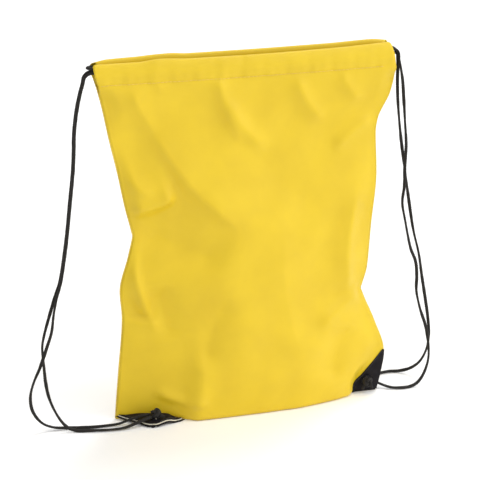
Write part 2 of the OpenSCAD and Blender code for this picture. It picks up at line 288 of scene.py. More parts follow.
def math_node(mat, operation, a, b):
    n = node(mat, "ShaderNodeMath", operation=operation)
    for k, value in enumerate((a, b)):
        if isinstance(value, (int, float)):
            n.inputs[k].default_value = value
        else:
            link(mat, value, n.inputs[k])
    return n.outputs["Value"]


def blend_colours(mat, factor, low, high):
    ramp = node(mat, "ShaderNodeValToRGB")
    ramp.color_ramp.elements[0].color = (*low, 1)
    ramp.color_ramp.elements[1].color = (*high, 1)
    ramp.color_ramp.elements[0].position = 0.3
    ramp.color_ramp.elements[1].position = 0.7
    link(mat, factor, ramp.inputs["Fac"])
    return ramp.outputs["Color"]


def bump(mat, height, strength, distance):
    n = node(mat, "ShaderNodeBump")
    n.inputs["Strength"].default_value = strength
    n.inputs["Distance"].default_value = distance
    link(mat, height, n.inputs["Height"])
    shader = mat.node_tree.nodes["Principled BSDF"]
    link(mat, n.outputs["Normal"], shader.inputs["Normal"])


def mottle(mat, vector, scale, detail, low, high):
    """Lets the colour wander between two shades."""
    colour = blend_colours(mat, noise(mat, vector, scale, detail), low, high)
    link(mat, colour, mat.node_tree.nodes["Principled BSDF"].inputs["Base Color"])


def wave(mat, vector, scale, direction):
    n = node(mat, "ShaderNodeTexWave", wave_type="BANDS", bands_direction=direction)
    n.inputs["Scale"].default_value = scale
    n.inputs["Distortion"].default_value = 0.3
    n.inputs["Detail"].default_value = 0.0
    link(mat, vector, n.inputs["Vector"])
    return n.outputs["Fac"]


THREADS = 520  # scale of the cloth's warp and weft


def cloth_material(name, low, high):
    """Plain-woven polyester: fine warp and weft, satin sheen, faint unevenness of colour and gloss."""
    mat = material(name, high, 0.42, Sheen_Weight=0.2, Sheen_Roughness=0.4, Specular_IOR_Level=0.4)
    shader = mat.node_tree.nodes["Principled BSDF"]
    shader.inputs["Sheen Tint"].default_value = (1.0, 0.88, 0.3, 1)
    place = coordinates(mat, "UV")
    mottle(mat, place, 22, 4, low, high)
    gloss = node(mat, "ShaderNodeMapRange")
    gloss.inputs["To Min"].default_value = 0.36
    gloss.inputs["To Max"].default_value = 0.5
    link(mat, noise(mat, place, 60, 2), gloss.inputs["Value"])
    link(mat, gloss.outputs["Result"], shader.inputs["Roughness"])
    warp = wave(mat, place, THREADS, "X")
    weft = wave(mat, place, THREADS, "Y")
    weave = math_node(mat, "ADD", warp, weft)
    crumple = math_node(mat, "MULTIPLY", noise(mat, place, 260, 3), 1.6)
    bump(mat, math_node(mat, "ADD", weave, crumple), 0.22, 0.00025)
    return mat


def leathercloth_material():
    """Black coated cloth with a fine pebbled grain."""
    mat = material("patch_leathercloth", (0.008, 0.007, 0.008), 0.5, Specular_IOR_Level=0.14)
    place = coordinates(mat, "UV")
    cells = node(mat, "ShaderNodeTexVoronoi", feature="DISTANCE_TO_EDGE")
    cells.inputs["Scale"].default_value = 900
    link(mat, place, cells.inputs["Vector"])
    mottle(mat, place, 90, 3, (0.005, 0.004, 0.005), (0.013, 0.011, 0.013))
    grain = math_node(mat, "ADD", cells.outputs["Distance"], noise(mat, place, 300, 3))
    bump(mat, grain, 0.5, 0.0004)
    return mat


def thread_material(name, low, high):
    """Twisted sewing thread or a raw cloth edge."""
    mat = material(name, high, 0.7, Sheen_Weight=0.3)
    place = coordinates(mat, "Object")
    mottle(mat, place, 700, 3, low, high)
    bump(mat, noise(mat, place, 2200, 2), 0.4, 0.0002)
    return mat


def braid_material():
    """Black polyester braid with fine fibres along the cord; its strands are part of the mesh."""
    mat = material("cord_braid", (0.012, 0.010, 0.009), 0.7,
                   Sheen_Weight=0.06, Sheen_Roughness=0.5, Specular_IOR_Level=0.25)
    mottle(mat, coordinates(mat, "UV"), 400, 3, (0.007, 0.006, 0.005), (0.02, 0.017, 0.014))
    bump(mat, noise(mat, coordinates(mat, "UV", (40, 900, 1)), 3, 2), 0.5, 0.0003)
    return mat


def metal_material():
    """Black lacquered eyelet, worn a little lighter in places."""
    mat = material("eyelet_metal", (0.02, 0.02, 0.022), 0.42, Metallic=0.3, Specular_IOR_Level=0.25)
    place = coordinates(mat, "Object")
    mottle(mat, place, 500, 4, (0.01, 0.01, 0.011), (0.03, 0.03, 0.032))
    bump(mat, noise(mat, place, 900, 3), 0.15, 0.0002)
    return mat


def floor_material():
    mat = material("pale_floor", (0.93, 0.93, 0.93), 0.6, Emission_Strength=0.06)
    mottle(mat, coordinates(mat, "Object"), 3, 2, (0.92, 0.92, 0.92), (0.94, 0.94, 0.94))
    return mat


YELLOW_LOW = (0.66, 0.455, 0.009)
YELLOW_HIGH = (0.72, 0.505, 0.011)
CLOTH_MAT = cloth_material("bag_cloth", YELLOW_LOW, YELLOW_HIGH)
THREAD_MAT = thread_material("seam_thread", (0.60, 0.41, 0.05), (0.80, 0.58, 0.08))
RAW_EDGE_MAT = thread_material("raw_edge", (0.48, 0.44, 0.33), (0.74, 0.70, 0.56))
PATCH_MAT = leathercloth_material()
PATCH_THREAD_MAT = thread_material("patch_thread", (0.012, 0.011, 0.012), (0.03, 0.028, 0.028))
CORD_MAT = braid_material()
METAL_MAT = metal_material()


def dress(obj, mat, slot, body, *replaced):
    """Gives a piece its material, its body and the CAD nodes that it stands for; its slot is not used."""
    obj.data.materials.clear()
    obj.data.materials.append(mat)
    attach(obj, body)
    if replaced:
        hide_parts(*replaced)
    return obj


# ---- camera ----

CAMERA_AZIMUTH = -17.0
CAMERA_ELEVATION = 17.5
CAMERA_DISTANCE = 2.4
CAMERA_TARGET = Vector((-0.0045, 0, 0.1981))
VIEW_WIDTH = 0.5374  # width that the picture spans at the bag's distance
SENSOR = 36  # its width in millimetres


def make_camera():
    data = bpy.data.cameras.new("camera")
    data.sensor_width = SENSOR
    data.lens = SENSOR * CAMERA_DISTANCE / VIEW_WIDTH
    data.clip_end = 20
    cam = add_object("camera", data)
    a, e = math.radians(CAMERA_AZIMUTH), math.radians(CAMERA_ELEVATION)
    back = Vector((math.sin(a) * math.cos(e), -math.cos(a) * math.cos(e), math.sin(e)))
    cam.location = CAMERA_TARGET + back * CAMERA_DISTANCE
    cam.rotation_mode = "QUATERNION"
    cam.rotation_quaternion = (-back).to_track_quat("-Z", "Y")
    bpy.context.scene.camera = cam


make_camera()


# ---- cords ----

# Routes of the four hanging strands in millimetres, from under the channel's end to the eyelet:
# the points along which the CAD cords are swept.
LEFT_FRONT = [
    (-181, -2.2, 388.5), (-184, -2.4, 379), (-188, -3, 362), (-191, -4, 339), (-193, -4, 310),
    (-196, -5, 275), (-200, -5, 244), (-205, -6, 208), (-211, -7, 172), (-217, -8, 152),
    (-221, -9, 134), (-224, -10, 115), (-230, -11, 98), (-238, -11, 76), (-246, -11, 58),
    (-250, -11, 42), (-248, -11, 25), (-239, -12, 11), (-226, -13, 4), (-210, -15, 2.2),
    (-190, -20, 2.2), (-168, -21.5, 2.2), (-152, -22.5, 3.4), (-139, -24, 7.8), (-128, -25.5, 10.9),
    (-118.5, -26, 11.8),
]
LEFT_BACK = [
    (-181, 2.2, 388.5), (-184, 2.2, 379), (-188, 2, 362), (-191, 1, 339), (-193, 1, 310),
    (-196, 0, 275), (-200, 0, 244), (-205, -1, 208), (-211, -2, 172), (-218, -3, 152),
    (-226, -4, 128), (-232, -5, 108), (-234, -5, 94), (-233, -7, 74), (-232, -9, 56),
    (-229, -12, 38), (-222, -16, 20), (-213, -21, 7), (-202, -26, 2.2), (-188, -30, 2.2),
    (-166, -34, 2.2), (-149, -35, 3), (-136, -33.5, 6), (-126, -32.5, 9), (-118, -31.2, 10.6),
]
RIGHT_FRONT = [
    (180.5, -2.2, 393.5), (182.5, -2.4, 384), (185, -3, 368), (187, -3, 345), (189, -3, 320),
    (191, -3, 294), (190, -3, 270), (190, -3, 246), (188, -3, 226), (192, -3, 204),
    (199, -3, 172), (206, -3, 154), (208, -3, 136), (208, -3, 118), (213, -3, 96),
    (221, -3, 72), (225, -3, 48), (225, -3, 31), (220, -4, 16), (212, -6, 6),
    (202, -8, 2.2), (190, -9, 2.2), (178, -5, 2.5), (168, 3, 5), (160, 8, 9), (153.5, 8.5, 12),
    (150, 5.5, 12.5),
]
RIGHT_BACK = [
    (180.5, 2.2, 393.5), (181, 2.6, 384), (181, 3, 368), (182, 3, 345), (185, 4, 318),
    (189, 5, 290), (194, 5, 258), (199, 6, 228), (206, 7, 190), (214, 8, 160),
    (219, 9, 132), (224, 10, 106), (229, 12, 80), (232, 14, 56), (231, 18, 36),
    (226, 25, 19), (218, 34, 8), (207, 42, 2.6), (195, 45, 2.2), (182, 43, 2.2),
    (170, 36, 3), (161, 26, 7), (155, 16, 12), (151, 10, 15.5), (148.4, 5.5, 16),
]


CHANNEL_STEP = 28 * MM  # between the route's points inside a channel
CURVE_STEPS = 8  # steps of the smooth curve between two points of a route
RING_STEP = 1.25 * MM  # between the rings of a cord's mesh
TAIL_STEP = 0.8 * MM  # between those of a knot's cut ends


def mouth_gap(x):
    """Half of the mouth's gap at x, in metres."""
    return MOUTH_END + MOUTH_BOW * (1 - np.minimum(1, np.abs(x) / CHANNEL_HALF) ** 2)


def exit_bend(way, side, z):
    """Where a cord leaves a channel's end and turns down. way is -1 on the left, 1 on the right."""
    bend = [(180.3, 2.2, 9.5), (178.8, 2.8, 4.5), (174.5, 4, 0.9), (168, LOOP_R / MM - 0.1, 0)]
    return [(way * x * MM, side * y * MM, z - drop * MM) for x, y, drop in bend]


def channel_run(way, side, z):
    """Through one channel, from the end where the cord leaves to its end loop."""
    marks = [CHANNEL_STEP * k for k in range(-5, 6)] + [CHANNEL_HALF - 10 * MM, CHANNEL_HALF]
    return [(-way * x, side * (mouth_gap(x) + CHANNEL_R), z) for x in marks]


def end_loop(way, z):
    turns = [math.radians(a) for a in range(-90, 91, 30)]
    out = CHANNEL_HALF + SLACK
    return [(-way * (out + LOOP_R * math.cos(a)), LOOP_R * math.sin(a), z) for a in turns]


def cord_path(way, z, front, back):
    """One whole cord, from its knot up, through both channels and down to its knot again."""
    down_front = [tuple(c * MM for c in p) for p in front]
    down_back = [tuple(c * MM for c in p) for p in back]
    points = (down_front[::-1] + exit_bend(way, -1, z) + channel_run(way, -1, z) + end_loop(way, z)
              + channel_run(way, 1, z)[::-1] + exit_bend(way, 1, z)[::-1] + down_back)
    return even_steps(spline(points, CURVE_STEPS), RING_STEP)


STRAND_PAIRS = 4  # strands of the braid in each direction
BRAID_PITCH = 11 * MM  # length in which a strand goes once round the cord
BRAID_TURN = 190 * MM  # length in which the slightly flat cord turns once
BRAID_SWAY = 0.7  # how far it also rocks to and fro, in radians
BRAID_SWAY_LENGTH = 47 * MM  # how slowly it does
BRAID_RELIEF = 0.10  # depth of the strands, as a share of the radius
FLAT_R = 1.35 * MM  # half thickness of the cord across its flat way


def braid_radius(angle, along):
    """Skin of a slightly flat braid: strands cross over and under each other in both directions."""
    turn = 2 * math.pi * along / BRAID_PITCH
    right = np.cos(STRAND_PAIRS * (angle - turn))
    left = np.cos(STRAND_PAIRS * (angle + turn))
    over = np.maximum(right, left)
    lie = angle - 2 * math.pi * along / BRAID_TURN + BRAID_SWAY * np.sin(along / BRAID_SWAY_LENGTH)
    oval = FLAT_R / np.sqrt(1 - (1 - (FLAT_R / CORD_R) ** 2) * np.cos(lie) ** 2)
    return oval * (1 + BRAID_RELIEF * (over - 0.5))


def make_cord(name, way, z, front, back, replaced):
    """One whole cord, which bends from the drawstring's body to the strap's just under the hem's end."""
    path = cord_path(way, z, front, back)
    cord = tube(name, path, braid_radius, sides=16, side=(0, 1, 0))
    cord.data.materials.append(CORD_MAT)
    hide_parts(*replaced)
    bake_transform(cord)
    return cord, path


left_cord, left_path = make_cord(
    "left_cord_braid", -1, CORD_LOW, LEFT_FRONT, LEFT_BACK,
    ("left_drawstring", "left_front_strand", "left_back_strand"))
right_cord, right_path = make_cord(
    "right_cord_braid", 1, CORD_HIGH, RIGHT_FRONT, RIGHT_BACK,
    ("right_drawstring", "right_front_strand", "right_back_strand"))


# ---- knots and the places of the two eyelets ----

LEFT_PLACE = (Matrix.Translation(LEFT_EYELET) @ Matrix.Rotation(LEFT_TURN, 4, "Z")
              @ Matrix.Rotation(LEFT_TILT, 4, "X"))
RIGHT_PLACE = Matrix.Translation(RIGHT_EYELET) @ Matrix.Rotation(math.radians(90), 4, "X")
LEFT_STACK = 1.65 * MM  # half thickness of cloth and patches at the left eyelet
RIGHT_STACK = 2.6 * MM
FLANGE = 0.7 * MM
KNOT_R = 3.1 * MM  # middle radius of a knot's loops
KNOT_WAVE = 1.7 * MM  # how far they run in and out of it
KNOT_HALF = 2.5 * MM  # how far they run up and down
KNOT_SHIFT = math.radians(40)  # between the knot's two cords
KNOT_LIFT = 0.6 * CORD_R  # of the second cord over the first
KNOT_PRESS = 0.85 * CORD_R  # between the flange and the lowest cord's middle
KNOT_POINTS = 180
KNOT_SIDES = 14
BORE_HALF = 2.05  # millimetres from a bore's middle to each cord in it
LEFT_BORE = 8.5  # how far the cords go down from the knot, in millimetres
RIGHT_BORE = 11.8


def placed(place, points):
    """Points drawn flat around an eyelet, put where that eyelet is."""
    m = np.array(place)
    return points @ m[:3, :3].T + m[:3, 3]


def make_knot(name, place, stack, tails, replaced):
    """An overhand knot of the doubled cord, drawn tight against the eyelet, with its two cut ends."""
    turn = np.linspace(0, 2 * math.pi, KNOT_POINTS, endpoint=False)
    out = KNOT_R + KNOT_WAVE * np.cos(3 * turn)
    middle = stack + FLANGE + KNOT_HALF + KNOT_PRESS
    pieces = []
    for shift in (0, 1):
        round_by = 2 * turn + shift * KNOT_SHIFT
        loop = np.stack([out * np.cos(round_by), out * np.sin(round_by),
                         middle + shift * KNOT_LIFT + KNOT_HALF * np.sin(3 * turn)], 1)
        loop = placed(place, np.concatenate([loop, loop[:1]]))
        part = tube(f"{name}_loop_{shift}", loop, knot_radius, KNOT_SIDES, (0.2, 0.1, 1), caps=False)
        pieces.append(part)
    for k, tail in enumerate(tails):
        points = [(x * MM, y * MM, middle + z * MM) for x, y, z in tail]
        path = placed(place, even_steps(spline(points, CURVE_STEPS), TAIL_STEP))
        pieces.append(tube(f"{name}_tail_{k}", path, knot_radius, KNOT_SIDES, (0.3, 0.2, 1)))
    knot = join(name, pieces)
    return dress(knot, CORD_MAT, "cord_braid", "bag", replaced)


def bore_ends(across, depth):
    """The two ends of the cord that go from the knot down through the eyelet's bore, in millimetres."""
    x, y = across
    return [[(k * x, k * y, 0), (k * x, k * y, -0.4 * depth), (k * x, k * y, -depth)] for k in (-1, 1)]


def knot_radius(angle, along):
    """The cord is a little thinner where the knot is drawn tight."""
    return 0.93 * braid_radius(angle, along)


left_knot = make_knot("left_knot_tied", LEFT_PLACE, LEFT_STACK,
                      [[(2, -1, 0.5), (6, -3, 0), (9.5, -4, -1.5)], *bore_ends((BORE_HALF, 0), LEFT_BORE)],
                      "left_knot")
right_knot = make_knot("right_knot_tied", RIGHT_PLACE, RIGHT_STACK,
                       [[(-2, -2, 0), (-5, -6, 0.5), (-6, -9.5, 1)],
                        [(2, -2, 0.5), (4.5, -6, 1), (5, -9, 1.5)],
                        *bore_ends((0, BORE_HALF), RIGHT_BORE)],
                       "right_knot")


# ---- shape of the cloth ----

# The bag's side edges, as (height, distance from the middle) in millimetres, from the floor up
LEFT_EDGE = [(0, 151), (25, 149), (60, 146), (120, 141), (150, 143), (190, 133), (210, 128.3), (214, 127.6),
             (218, 128.4), (247, 135.5), (285, 143), (325, 152), (360, 159), (388, 166), (400, 169.5),
             (412, 171)]
RIGHT_EDGE = [(0, 160), (20, 165), (48, 169), (86, 157), (122, 141.5), (128, 139.5), (133, 141), (153, 146.5),
              (208, 151), (263, 156), (312, 154), (326, 156), (358, 171), (383, 175.5), (396, 173),
              (406, 170), (416, 165)]
# How far the front and the back stand out at their fullest, as (height, depth)
FRONT_DEPTH = [(0, 36), (60, 37), (120, 35), (200, 30), (280, 21), (340, 14), (386, 10.5)]
BACK_DEPTH = [(0, 33), (60, 36), (130, 33), (220, 25), (300, 16), (350, 11), (386, 10.5)]
# Sections across the width, as (place from the left edge -1 to the right edge 1, share of the depth)
FRONT_BASE = [(-1, 0.02), (-0.8, 0.27), (-0.57, 0.62), (-0.42, 1), (0.28, 0.92), (0.62, 0.62), (0.8, 0.33),
              (1, 0.02)]
FRONT_MIDDLE = [(-1, 0.02), (-0.62, 0.5), (-0.1, 1), (0.4, 0.72), (0.78, 0.42), (1, 0.02)]
BACK_BASE = [(-1, 0.02), (-0.7, 0.5), (-0.3, 0.95), (0.35, 1), (0.7, 0.6), (1, 0.02)]
BACK_MIDDLE = [(-1, 0.02), (-0.65, 0.5), (-0.2, 0.93), (0.25, 1), (0.7, 0.5), (1, 0.02)]

# Creases in millimetres: from (x, z) to (x, z), how far it stands out, and its spread to the left
# and to the right of that direction. A small spread is a sharp edge.
FRONT_CREASES = [
    (-136, 243, -84, 259, 7, 30, 6),
    (-112, 222, -36, 186, -4, 22, 24),
    (-104, 330, -20, 226, 5, 24, 9),
    (-132, 212, -109, 112, 4.5, 6, 8),
    (-144, 130, -108, 119, -5, 14, 3.5),
    (-99, 152, -90, 100, -3.5, 14, 14),
    (-28, 135, -54, 66, -3.5, 16, 18),
    (-106, 32, -56, 19, 3, 8, 4),
    (-34, 398, -10, 322, 3, 9, 7),
    (-22, 362, 17, 308, 3, 10, 8),
    (57, 380, 86, 334, 3.5, 8, 11),
    (129, 240, 121, 126, 4, 10, 14),
    (119, 84, 99, 28, -4, 16, 16),
    (8, 305, 84, 232, -3, 40, 34),
    (-101, 412, -97, 378, 1.6, 5, 5),
    (-150, 300, -112, 262, 3, 12, 9),
    (-128, 378, -106, 336, 2.2, 10, 7),
    (110, 384, 132, 352, 2.4, 8, 9),
    (146, 330, 104, 300, 3, 10, 7),
    (140, 128, 84, 96, 3, 14, 8),
    (40, 205, 60, 60, 2.5, 26, 20),
]
BACK_CREASES = [
    (-130, 216, -60, 236, 5, 22, 7),
    (-60, 330, 10, 240, 4, 20, 12),
    (140, 130, 60, 168, 6, 20, 7),
    (150, 318, 90, 280, 4, 16, 8),
    (-40, 390, -24, 320, 2.6, 9, 8),
    (50, 388, 38, 330, 2.6, 9, 8),
    (-96, 386, -88, 344, 2.4, 8, 8),
    (104, 386, 90, 340, 2.6, 8, 9),
    (20, 190, -30, 60, -4, 24, 26),
    (-100, 150, -92, 60, -3.5, 18, 18),
    (100, 90, 84, 30, 3, 14, 14),
]

# How far the top of a hem is drawn up, as (x, rise)
FRONT_HEM_RISE = [(-170, 0), (-120, 0.3), (-97, 2.6), (-62, 1), (0, 0.8), (100, 1.8), (170, 4)]
BACK_HEM_RISE = [(-170, 0), (-152, 3), (-120, 3.6), (-97, 4.6), (-82, 4.8), (-62, 3.4), (0, 3.2), (100, 4.4),
                 (150, 6.2), (170, 4)]
# The hem from its stitched lower edge, over the cords, over the top and down inside:
# (share of its height, share of the channel's depth)
HEM_SECTION = [
    (0.10, 0.99), (0.17, 0.97), (0.26, 1.04), (0.36, 1.14), (0.47, 1.2), (0.58, 1.2), (0.68, 1.13),
    (0.77, 1.02), (0.86, 0.88), (0.93, 0.72), (0.985, 0.53), (1.01, 0.36), (1.0, 0.2), (0.95, 0.06),
    (0.85, -0.02), (0.7, -0.05), (0.5, -0.03), (0.3, 0.02), (0.12, 0.12),
]
HEM_TOP_ROW = max(range(len(HEM_SECTION)), key=lambda k: HEM_SECTION[k][0])
HEM_DENTS = [(-35, 5), (-4, 4)]  # dents in the top of the hems, as (x, width)
DENT_DEPTH = 0.9
HEM_CREASE_Z = HEM_Z / MM + 8  # the creases' section at this height goes on through the hem

# All that one cloth's shape needs; side is -1 at the front and 1 at the back, phase sets its small waves
ClothShape = namedtuple("ClothShape", "side depth base middle creases phase rise")
FRONT = ClothShape(-1, FRONT_DEPTH, FRONT_BASE, FRONT_MIDDLE, FRONT_CREASES, 0.7, FRONT_HEM_RISE)
BACK = ClothShape(1, BACK_DEPTH, BACK_BASE, BACK_MIDDLE, BACK_CREASES, 2.1, BACK_HEM_RISE)

FOLD_GAIN = 1.6  # how strongly all creases are drawn
CREASE_BOW = 0.06  # how far a crease bows sideways, as a share of its length
EDGE_GAP = 0.7  # millimetres from the middle plane to a cloth at the side seams
CORNER_GAP = 1.3  # the same at the standing right corner
BELLY_HEIGHT = 150  # where the base's section has turned into the middle's
NECK_Z = 330  # where the cloth starts to close toward the hem
NECK_EDGE_Z = 372  # the same at the side seams
NECK_HEIGHT = 56
NECK_EDGE_HEIGHT = 16
CALM_Z = 376  # where the creases start to fade below the hem's stitches
CALM_HEIGHT = 12
CALM_SHARE = 0.55
COLUMNS = 113
WALL_ROWS = 118
BASE_ROWS = 8
FOLD_ANGLES = (30, 60)  # rows of the soft fold between base and wall, in degrees
FOLD_R = 4.0  # its radius
BASE_Z = 0.4  # height of the base's cloth over the floor


def profile_of(points, at):
    knots, values = zip(*points)
    return curve_through(knots, values, at)


def edge_x(u, z):
    """x in millimetres at a place u from -1 at the left edge to 1 at the right one."""
    left = -profile_of(LEFT_EDGE, z)
    right = profile_of(RIGHT_EDGE, z)
    return left + (right - left) * (u + 1) / 2


def crease(x, z, from_x, from_z, to_x, to_z, height, spread_left, spread_right):
    """A fold along a line: highest in the middle of its length, with its own slope on either side."""
    dx, dz = to_x - from_x, to_z - from_z
    length = math.hypot(dx, dz)
    along = ((x - from_x) * dx + (z - from_z) * dz) / length**2
    across = ((z - from_z) * dx - (x - from_x) * dz) / length
    across = across + CREASE_BOW * length * np.sin(math.pi * np.clip(along, 0, 1))
    spread = np.where(across > 0, spread_left, spread_right)
    inside = smooth((along + 0.15) / 0.35) * smooth((1.15 - along) / 0.35)
    return FOLD_GAIN * height * inside * np.exp(-np.abs(across / spread) ** 1.5)


def ripples(x, z, phase):
    """Slight unevenness that a lightly filled cloth bag has everywhere."""
    return (0.8 * np.sin(x / 17 + 1.3 * np.sin(z / 31 + phase)) * np.sin(z / 23 + phase)
            + 0.5 * np.sin(x / 9 - z / 14 + 2 * phase) * np.sin(z / 37 + x / 29))


def ear_share(x, z):
    """0 on the flat standing ear at the right corner, 1 away from it."""
    s = profile_of(RIGHT_EDGE, z) - x + 0.9 * np.maximum(0, z - 14)
    return smooth((s - 24) / (12 + 0.5 * z))


def eyelet_share(x, z):
    """0 round the right corner's eyelet, where the knot presses the cloth flat, 1 away from it."""
    away = np.hypot(x - EYELET_X, z - EYELET_Z)
    return smooth((away - 9) / 16)


def depth_at(shape, u, z):
    """How far a cloth stands out from the middle plane, in millimetres."""
    x = edge_x(u, z)
    low = 1 - smooth(z / BELLY_HEIGHT)
    section = low * profile_of(shape.base, u) + (1 - low) * profile_of(shape.middle, u)
    inner = smooth((1 - np.abs(u)) / 0.12)
    neck = smooth((z - NECK_Z) / NECK_HEIGHT)
    edge_neck = smooth((z - NECK_EDGE_Z) / NECK_EDGE_HEIGHT)
    top = inner * neck + (1 - inner) * edge_neck
    d = profile_of(shape.depth, z) * section * (1 - top) + hem_out(x) * top
    folds = sum(crease(x, z, *c) for c in shape.creases) + ripples(x, z, shape.phase)
    calm = 1 - CALM_SHARE * smooth((z - CALM_Z) / CALM_HEIGHT)
    d = d + folds * smooth((1 - np.abs(u)) / 0.1) * smooth(z / 14) * calm
    ear = ear_share(x, z) * eyelet_share(x, z)
    return np.maximum(EDGE_GAP, d * ear + CORNER_GAP * (1 - ear))


def hem_out(x):
    """How far the outside of a hem channel stands out from the middle plane, in millimetres."""
    return mouth_gap(x * MM) / MM + 2 * CHANNEL_R / MM + 0.25


def hem_height(share):
    """Height in millimetres at a share of the hem's own height."""
    return HEM_Z / MM + share * (TOP_Z - HEM_Z) / MM


def hem_depth(shape, x, share, out):
    """How far a hem channel stands out at a share of its height, with the puckers of its stitching."""
    d = mouth_gap(x * MM) / MM + out * 2 * CHANNEL_R / MM
    if out < 0.5:
        return d
    pucker = 0.5 * np.sin(x / 4.3 + shape.phase) + 0.35 * np.sin(x / 2.1 + 3 * shape.phase)
    folds = sum(crease(x, HEM_CREASE_Z, *c) for c in shape.creases)
    dents = sum(-DENT_DEPTH * np.exp(-((x - at) / width) ** 2) for at, width in HEM_DENTS)
    return d + pucker * (1 - share) + 0.5 * folds * (1 - 0.6 * share) + dents * share


def cloth_rows(shape):
    """Grid of one cloth's points: out under the base, up the wall, over the hem and down inside."""
    u = np.linspace(-1, 1, COLUMNS)
    rows = []

    def add(z, d, x):
        z = np.broadcast_to(z, u.shape).astype(float)
        rows.append(np.stack([x, shape.side * d, z], 1))

    foot = depth_at(shape, u, FOLD_R)
    flat = np.maximum(EDGE_GAP, foot - FOLD_R)
    for k in range(BASE_ROWS):
        add(BASE_Z, EDGE_GAP + (flat - EDGE_GAP) * k / (BASE_ROWS - 1), edge_x(u, 0))
    for turn in np.radians(FOLD_ANGLES):
        z = BASE_Z + FOLD_R * (1 - math.cos(turn))
        add(z, flat + np.minimum(FOLD_R, foot - EDGE_GAP) * math.sin(turn), edge_x(u, z))
    for z in np.linspace(FOLD_R + 0.6, HEM_Z / MM + 1, WALL_ROWS):
        add(z, depth_at(shape, u, z), edge_x(u, z))
    for k, (share, out) in enumerate(HEM_SECTION):
        inside = smooth((k - HEM_TOP_ROW + 2) / 4)
        z = hem_height(share)
        outer_x = edge_x(u, z)
        inner_x = u * (CHANNEL_HALF / MM - 1)
        x = outer_x * (1 - inside) + inner_x * inside
        add(z + share * profile_of(shape.rise, x), hem_depth(shape, x, share, out), x)
    return np.array(rows).transpose(1, 0, 2) * MM


FLAT_SIZE = (0.34, 0.478)  # each cloth as cut, with its hem allowance folded inside


def make_cloth(name, shape, panel, channel):
    grid = cloth_rows(shape)
    columns, rows = grid.shape[:2]
    across = np.linspace(0, FLAT_SIZE[0], columns)
    along = np.linspace(0, FLAT_SIZE[1], rows)
    cloth = grid_object(name, grid, np.stack(np.meshgrid(across, along, indexing="ij"), -1))
    settle(cloth, grid, shape.side)
    open_eyelet(cloth, grid[..., 0] / MM - EYELET_X, grid[..., 2] / MM - EYELET_Z)
    thicken(cloth, CLOTH)
    dress(cloth, CLOTH_MAT, "bag_cloth", "bag", panel, channel)


LOOSEST = 0.97  # share of its hold that a cloth's middle lacks
SIM_FRAMES = 16
EXTRA_CLOTH = 0.014  # share by which the cloth is larger than the shape it is held to
MOST_MOVE = 3 * MM  # no point settles further than this from its modelled place


def pin_weights(grid):
    """How firmly each point of a cloth is held: 1 at its sewn edges, hem and foot, little in its middle."""
    columns, rows = grid.shape[:2]
    u = np.abs(np.linspace(-1, 1, columns))[:, None]
    z = grid[..., 2] / MM
    loose = smooth((1 - u) / 0.16) * smooth((z - 8) / 26) * smooth((HEM_Z / MM - 4 - z) / 22)
    past_wall = np.arange(rows)[None, :] >= BASE_ROWS + len(FOLD_ANGLES) + WALL_ROWS
    x = grid[..., 0] / MM
    loose = np.where(past_wall | (z < 8), 0, loose) * ear_share(x, z) * eyelet_share(x, z)
    return 1 - LOOSEST * loose


def settle(cloth, grid, side):
    """Lets a cloth that is a little too large for its shape buckle into small folds."""
    weights = pin_weights(grid).reshape(-1)
    group = cloth.vertex_groups.new(name="pin")
    for i, w in enumerate(weights):
        group.add([i], float(w), "REPLACE")
    settings = cloth.modifiers.new("cloth", "CLOTH").settings
    settings.quality = 7
    settings.mass = 0.12
    settings.tension_stiffness = 30
    settings.compression_stiffness = 30
    settings.shear_stiffness = 12
    settings.bending_stiffness = 0.12
    settings.air_damping = 3
    settings.vertex_group_mass = "pin"
    settings.pin_stiffness = 0.35
    settings.shrink_min = -EXTRA_CLOTH
    scene = bpy.context.scene
    for f in range(1, SIM_FRAMES + 1):
        scene.frame_set(f)
    apply_modifiers(cloth)
    scene.frame_set(1)
    moved = np.zeros(len(cloth.data.vertices) * 3)
    cloth.data.vertices.foreach_get("co", moved)
    start = grid.reshape(-1, 3)
    shift = moved.reshape(-1, 3) - start
    size = np.maximum(np.linalg.norm(shift, axis=1), 1e-9)[:, None]
    shift *= np.tanh(size / MOST_MOVE) * MOST_MOVE / size * (weights < 1)[:, None]
    end = start + shift
    end[:, 1] = side * np.maximum(side * end[:, 1], np.minimum(side * start[:, 1], EDGE_GAP * MM))
    cloth.data.vertices.foreach_set("co", end.ravel())
    cloth.vertex_groups.clear()


EYELET_HOLE = 4.3  # radius in which cloth and patches leave room for an eyelet's barrel


def open_eyelet(sheet, across, along):
    """Takes a sheet's points inside an eyelet's barrel out; across and along count from its middle."""
    near = np.hypot(across, along).reshape(-1) < EYELET_HOLE
    faces = [tuple(f.vertices) for f in sheet.data.polygons if not near[list(f.vertices)].any()]
    used = sorted({i for f in faces for i in f})
    at = {old: new for new, old in enumerate(used)}
    points = [tuple(sheet.data.vertices[i].co) for i in used]
    faces = [tuple(at[i] for i in f) for f in faces]
    fresh = new_object(sheet.name, points, faces, vertex_uvs(sheet)[used])
    sheet.data = fresh.data
    bpy.data.objects.remove(fresh)


make_cloth("front_cloth", FRONT, "front_panel", "front_channel")
make_cloth("back_cloth", BACK, "back_panel", "back_channel")


# ---- seams and stitches ----

SEAM_R = 0.8 * MM
THREAD_TURN = 2.2 * MM  # length of one turn of the overlock thread
BOTTOM_SEAM_HALF = 100  # half length of the seam along the base, in millimetres
BOTTOM_SEAM_HEIGHT = 2.6


def overlock(angle, along):
    """Skin of an overlocked edge: slanted turns of thread over a narrow fold of cloth."""
    return (0.95 + 0.16 * np.abs(np.sin(math.pi * along / THREAD_TURN + angle))) * SEAM_R


